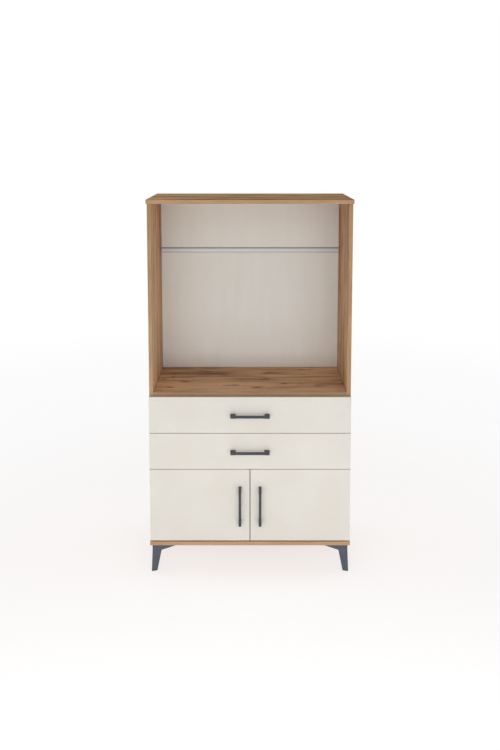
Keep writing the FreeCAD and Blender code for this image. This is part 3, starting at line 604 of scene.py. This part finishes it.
def lacquer(node):
    """Off-white satin front: faint clouding, fine orange peel, a warmer edge band darkened also as painted
    shade in the gaps between fronts, and hand-rubbed edges.
    """
    f = Finish(node + "_lacquer", specular=0.4)
    low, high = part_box(node)
    cloud = f.noise(f.place, 5.0, 3.0)
    colour = f.mix(f.between(cloud, 0.3, 0.7), srgb(226, 222, 214), srgb(223, 218, 209))
    speck = f.noise(f.place, 900.0, 1.0)
    colour = f.mix(f.between(speck, 0.64, 0.74, 0.0, 0.25), colour, srgb(206, 198, 184))
    rub = f.between(edge_distance(f, low, high), 3.5 * MM, 0.5 * MM)
    rub = f.maths("MULTIPLY", rub, f.between(f.noise(f.place, 40.0, 3.0), 0.42, 0.62, 0.1, 0.45))
    colour = f.mix(rub, colour, srgb(216, 209, 197))
    # Narrow faces: a warmer edge band, partly painted shade that darkens the gaps between fronts
    band = f.maths("LESS_THAN", f.maths("ABSOLUTE", f.split(f.normal)[1]), FACING)
    f.feed("Base Color", f.mix(band, colour, srgb(200, 190, 178)))
    f.feed("Roughness", f.between(f.noise(f.place, 14.0, 4.0), 0.3, 0.7, 0.40, 0.52))
    f.bump(f.noise(f.place, 420.0, 2.0), 0.05 * MM, 0.5)
    return f.material


def back_hardboard():
    """Cream paper-faced hardboard: soft upright streaks and a fine linen grain."""
    f = Finish("cream_back_board", roughness=0.75, specular=0.25)
    x, y, z = f.split(f.place)
    streaks = f.noise(f.join(f.maths("MULTIPLY", x, 22.0), y, f.maths("MULTIPLY", z, 3.5)), 1.0, 3.0, 0.5)
    linen = f.noise(f.join(f.maths("MULTIPLY", x, 500.0), y, f.maths("MULTIPLY", z, 150.0)), 1.0, 2.0)
    colour = f.mix(f.between(streaks, 0.3, 0.7), srgb(238, 239, 235), srgb(236, 236, 231))
    f.feed("Base Color", f.mix(f.between(linen, 0.45, 0.75, 0.0, 0.3), colour, srgb(225, 223, 215)))
    f.bump(linen, 0.08 * MM, 0.4)
    return f.material


def white_melamine(name, warm):
    """Off-white melamine board with a fine pearl texture. A warmer tone suits a hardboard bottom."""
    f = Finish(name, specular=0.35)
    first = srgb(221, 213, 200) if warm else srgb(228, 224, 215)
    second = srgb(213, 203, 188) if warm else srgb(222, 217, 207)
    f.feed("Base Color", f.mix(f.between(f.noise(f.place, 12.0, 4.0), 0.3, 0.7), first, second))
    f.feed("Roughness", f.between(f.noise(f.place, 60.0, 3.0), 0.3, 0.7, 0.45, 0.6))
    f.bump(f.noise(f.place, 700.0, 2.0), 0.05 * MM, 0.5)
    return f.material


def anthracite(name, first, second, grain, roughness):
    """Anthracite coat or moulding: slight clouding, a fine sandy grain and scattered paler specks."""
    f = Finish(name, specular=0.25)
    colour = f.mix(f.between(f.noise(f.place, 22.0, 3.0), 0.3, 0.7), first, second)
    speck = f.between(f.noise(f.place, grain, 2.0), 0.62, 0.74, 0.0, 0.3)
    f.feed("Base Color", f.mix(speck, colour, srgb(118, 123, 131)))
    dull = f.noise(f.place, 90.0, 3.0)
    f.feed("Roughness", f.between(dull, 0.3, 0.7, roughness - 0.07, roughness + 0.08))
    f.bump(f.noise(f.place, grain, 2.0), 0.12 * MM, 0.5)
    return f.material


def plated(name, colour, darker, roughness, brushed=(1, 1, 1)):
    """Plated or bare metal, with smudges and a fine grain that brushed stretches along an axis."""
    f = Finish(name, metallic=1.0)
    grain = f.noise(f.vector("MULTIPLY", f.place, brushed), 900.0, 3.0)
    smudge = f.noise(f.place, 35.0, 4.0)
    f.feed("Base Color", f.mix(f.between(smudge, 0.35, 0.7), colour, darker))
    f.feed("Roughness", f.between(grain, 0.3, 0.7, roughness - 0.08, roughness + 0.12))
    f.bump(grain, 0.03 * MM, 0.5)
    return f.material


def joint_strip():
    """Pale anodised band between two lips: the upper one dark with painted shade, the lower one a quiet
    grey.
    """
    f = Finish("anodised_joint_strip", roughness=0.5, metallic=0.1)
    low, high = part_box("back_joint_strip")
    height = f.split(f.place)[2]
    drawn = f.noise(f.vector("MULTIPLY", f.place, (2, 60, 900)), 1.0, 3.0)
    band = f.mix(f.between(drawn, 0.3, 0.7), srgb(216, 224, 229), srgb(207, 215, 221))
    upper_border = high[2] - STRIP_LIP
    lower_border = low[2] + STRIP_LIP
    upper = f.between(height, upper_border - STRIP_BORDER, upper_border + STRIP_BORDER)
    lower = f.between(height, lower_border + STRIP_BORDER, lower_border - STRIP_BORDER)
    # The upper lip's dark colour is painted shade
    colour = f.mix(upper, band, srgb(118, 110, 100))
    f.feed("Base Color", f.mix(lower, colour, srgb(186, 180, 172)))
    f.bump(drawn, 0.05 * MM, 0.4)
    return f.material


def beech():
    """Turned beech: pale, with short dark flecks along the dowel."""
    f = Finish("turned_beech", roughness=0.6, specular=0.3)
    fleck = f.noise(f.vector("MULTIPLY", f.place, (300, 900, 300)), 1.0, 3.0)
    f.feed("Base Color", f.mix(f.between(fleck, 0.35, 0.7), srgb(214, 180, 138), srgb(176, 136, 96)))
    f.bump(fleck, 0.1 * MM, 0.5)
    return f.material


# Splits and small knots that show on the niche floor: along X, along Y, half length, half width
FLOOR_MARKS = (
    (-0.358, 0.112, 0.013, 0.010), (-0.364, 0.058, 0.008, 0.009), (-0.405, 0.016, 0.009, 0.007),
    (-0.302, -0.024, 0.021, 0.012), (-0.370, -0.107, 0.022, 0.008), (-0.126, 0.084, 0.016, 0.007),
    (-0.086, -0.076, 0.044, 0.007), (0.043, 0.020, 0.050, 0.007), (0.076, 0.020, 0.017, 0.011),
    (0.028, -0.111, 0.023, 0.009), (0.157, -0.055, 0.017, 0.007), (0.422, -0.055, 0.009, 0.010),
    (0.096, 0.119, 0.055, 0.010), (-0.215, 0.150, 0.030, 0.008), (0.262, 0.170, 0.034, 0.008),
)
# On the side panels: along Z, along Y, half length, half width
SIDE_MARKS = (
    (1.478, 0.046, 0.034, 0.005), (1.449, 0.098, 0.013, 0.006), (1.418, 0.172, 0.021, 0.009),
    (1.050, 0.020, 0.060, 0.005), (1.560, -0.080, 0.045, 0.005), (0.950, 0.150, 0.018, 0.010),
)
# On the top, as on the niche floor
TOP_MARKS = ((-0.330, 0.020, 0.040, 0.012), (0.060, -0.150, 0.060, 0.008), (0.210, 0.090, 0.030, 0.010))


def dress(names, material):
    for name in names:
        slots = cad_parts[name].data.materials
        slots.clear()
        slots.append(material)


def dress_case():
    dress(["top_panel"], oak("top_panel", "X", 3.1, TOP_MARKS, sheen=0.0))
    dress(["bottom_panel"], oak("bottom_panel", "X", 7.7))
    dress(["niche_floor"], oak("niche_floor", "X", 20.9, FLOOR_MARKS))
    dress(["left_side_panel"], oak("left_side_panel", "Z", 14.9, SIDE_MARKS, rear_shade=0.36))
    dress(["right_side_panel"], oak("right_side_panel", "Z", 30.6, SIDE_MARKS, rear_shade=0.30))
    dress(["upper_back_board", "lower_back_board"], back_hardboard())
    dress(["back_joint_strip"], joint_strip())
    dress(["panel_dowels"], beech())


def dress_fronts():
    for drawer in DRAWERS:
        dress([drawer + "_front"], lacquer(drawer + "_front"))
    for door in DOORS:
        dress([door + "_panel"], lacquer(door + "_panel"))


def dress_insides():
    board = white_melamine("white_melamine", warm=False)
    bottom = white_melamine("cream_hardboard_bottom", warm=True)
    dress(["middle_shelf"], board)
    for drawer in DRAWERS:
        dress([f"{drawer}_{wall}_wall" for wall in ("left", "right", "back")], board)
        dress([drawer + "_bottom"], bottom)


def dress_metal():
    zinc = plated("zinc_plate", srgb(196, 198, 202), srgb(172, 174, 178), 0.34, (1, 0.03, 1))
    nickel = plated("nickel_plate", srgb(205, 202, 197), srgb(186, 183, 178), 0.26)
    screw = plated("zinc_screws", srgb(198, 199, 200), srgb(170, 170, 172), 0.3)
    cast = plated("die_cast_zinc", srgb(168, 170, 173), srgb(140, 142, 146), 0.48)
    for drawer in DRAWERS:
        for side in SIDES:
            dress([f"{drawer}_{side}_{part}" for part in ("rail", "slide", "runner")], zinc)
    for door in DOORS:
        for end in ("upper", "lower"):
            dress([f"{door}_{end}_hinge_{part}" for part in ("arm", "cup")], nickel)
    dress(["leg_screws", "rail_screws", "hinge_screws"], screw)
    dress([f"{owner}_handle_screws" for owner in DRAWERS + DOORS], screw)
    dress(["cam_locks", "cam_bolts"], cast)


def add_fittings():
    coat = anthracite("anthracite_powder_coat", srgb(68, 72, 79), srgb(63, 67, 73), 1100.0, 0.45)
    plastic = anthracite("anthracite_moulding", srgb(87, 92, 104), srgb(82, 87, 98), 700.0, 0.58)
    for owner in DRAWERS + DOORS:
        add_handle(owner, coat)
    for end in LEG_ENDS:
        for side in SIDES:
            add_leg(end, side, plastic)


# ---- Floor, light and camera ----


def background_share(f):
    """1 for rays that should see the white background: from the camera, a gloss or a clear surface."""
    path = f.add("ShaderNodeLightPath")
    return f.largest(*(path.outputs[f"Is {kind} Ray"] for kind in ("Camera", "Glossy", "Transmission")))


def add_floor():
    """A pale floor that keeps the cabinet's shadow, and further off shows one even tone up to white."""
    reach = FLOOR_HALF_WIDTH
    corners = [(-reach, -reach, 0), (reach, -reach, 0), (reach, reach, 0), (-reach, reach, 0)]
    mesh = bpy.data.meshes.new("studio_floor")
    mesh.from_pydata(corners, [], [(0, 1, 2, 3)])
    floor = bpy.data.objects.new("studio_floor", mesh)
    bpy.context.scene.collection.objects.link(floor)
    f = Finish("pale_floor", roughness=0.9, specular=0.0)
    f.feed("Base Color", FLOOR_COLOUR)
    away = f.vector("LENGTH", f.place)
    near = f.between(away, FLOOR_FAR, FLOOR_NEAR)
    tone = f.between(away, FLOOR_FAR, FLOOR_WHITE, FLOOR_TONE, 1.0)
    even = f.join(tone, tone, tone)
    shown = f.add("ShaderNodeBsdfDiffuse")
    f.put(shown.inputs["Color"], f.mix(near, (0.0, 0.0, 0.0, 1.0), FLOOR_SHADE))
    glow = f.add("ShaderNodeEmission")
    f.put(glow.inputs["Color"], f.mix(near, even, FLOOR_GLOW))
    both = f.add("ShaderNodeAddShader")
    f.put(both.inputs[0], shown.outputs[0])
    f.put(both.inputs[1], glow.outputs[0])
    choice = f.add("ShaderNodeMixShader")
    f.put(choice.inputs[0], background_share(f))
    f.put(choice.inputs[1], f.shader.outputs[0])
    f.put(choice.inputs[2], both.outputs[0])
    output = next(node for node in f.tree.nodes if node.type == "OUTPUT_MATERIAL")
    f.put(output.inputs["Surface"], choice.outputs[0])
    mesh.materials.append(f.material)


def light_world():
    """An even studio sky, which the camera and glossy surfaces see as white."""
    world = bpy.data.worlds.new("studio")
    bpy.context.scene.world = world
    world.use_nodes = True
    tree = world.node_tree
    tree.nodes.clear()
    sky = tree.nodes.new("ShaderNodeBackground")
    sky.inputs["Strength"].default_value = WORLD_LIGHT
    white = tree.nodes.new("ShaderNodeBackground")
    path = tree.nodes.new("ShaderNodeLightPath")
    seen = tree.nodes.new("ShaderNodeMath")
    seen.operation = "MAXIMUM"
    also = tree.nodes.new("ShaderNodeMath")
    also.operation = "MAXIMUM"
    choice = tree.nodes.new("ShaderNodeMixShader")
    output = tree.nodes.new("ShaderNodeOutputWorld")
    for background in (sky, white):
        background.inputs["Color"].default_value = (1.0, 1.0, 1.0, 1.0)
    links = (
        (path.outputs["Is Camera Ray"], seen.inputs[0]), (path.outputs["Is Glossy Ray"], seen.inputs[1]),
        (seen.outputs[0], also.inputs[0]), (path.outputs["Is Transmission Ray"], also.inputs[1]),
        (also.outputs[0], choice.inputs[0]), (sky.outputs[0], choice.inputs[1]),
        (white.outputs[0], choice.inputs[2]), (choice.outputs[0], output.inputs["Surface"]),
    )
    for source, target in links:
        tree.links.new(source, target)


def add_lamp(name, place, target, size, power):
    """A large soft area lamp, aimed at a point."""
    lamp = bpy.data.lights.new(name, "AREA")
    lamp.shape = "RECTANGLE"
    lamp.size, lamp.size_y = size
    lamp.energy = power
    holder = bpy.data.objects.new(name, lamp)
    bpy.context.scene.collection.objects.link(holder)
    way = np.array(target) - np.array(place)
    yaw = math.atan2(way[0], way[1])
    pitch = math.atan2(way[2], math.hypot(way[0], way[1]))
    holder.location = place
    holder.rotation_euler = (math.pi / 2 + pitch, 0.0, -yaw)
    holder.visible_camera = False


def light_studio():
    light_world()
    for lamp in LAMPS:
        add_lamp(*lamp)


def aim_camera():
    camera = bpy.data.cameras.new("camera")
    camera.lens = CAMERA_LENS
    camera.shift_y = CAMERA_SHIFT
    holder = bpy.data.objects.new("camera", camera)
    bpy.context.scene.collection.objects.link(holder)
    holder.location = CAMERA_PLACE
    holder.rotation_euler = (math.radians(90 - CAMERA_PITCH), 0.0, 0.0)
    bpy.context.scene.camera = holder


bpy.context.scene.view_settings.view_transform = "Standard"
aim_camera()
light_studio()
add_floor()
dress_case()
dress_fronts()
dress_insides()
dress_metal()
add_fittings()
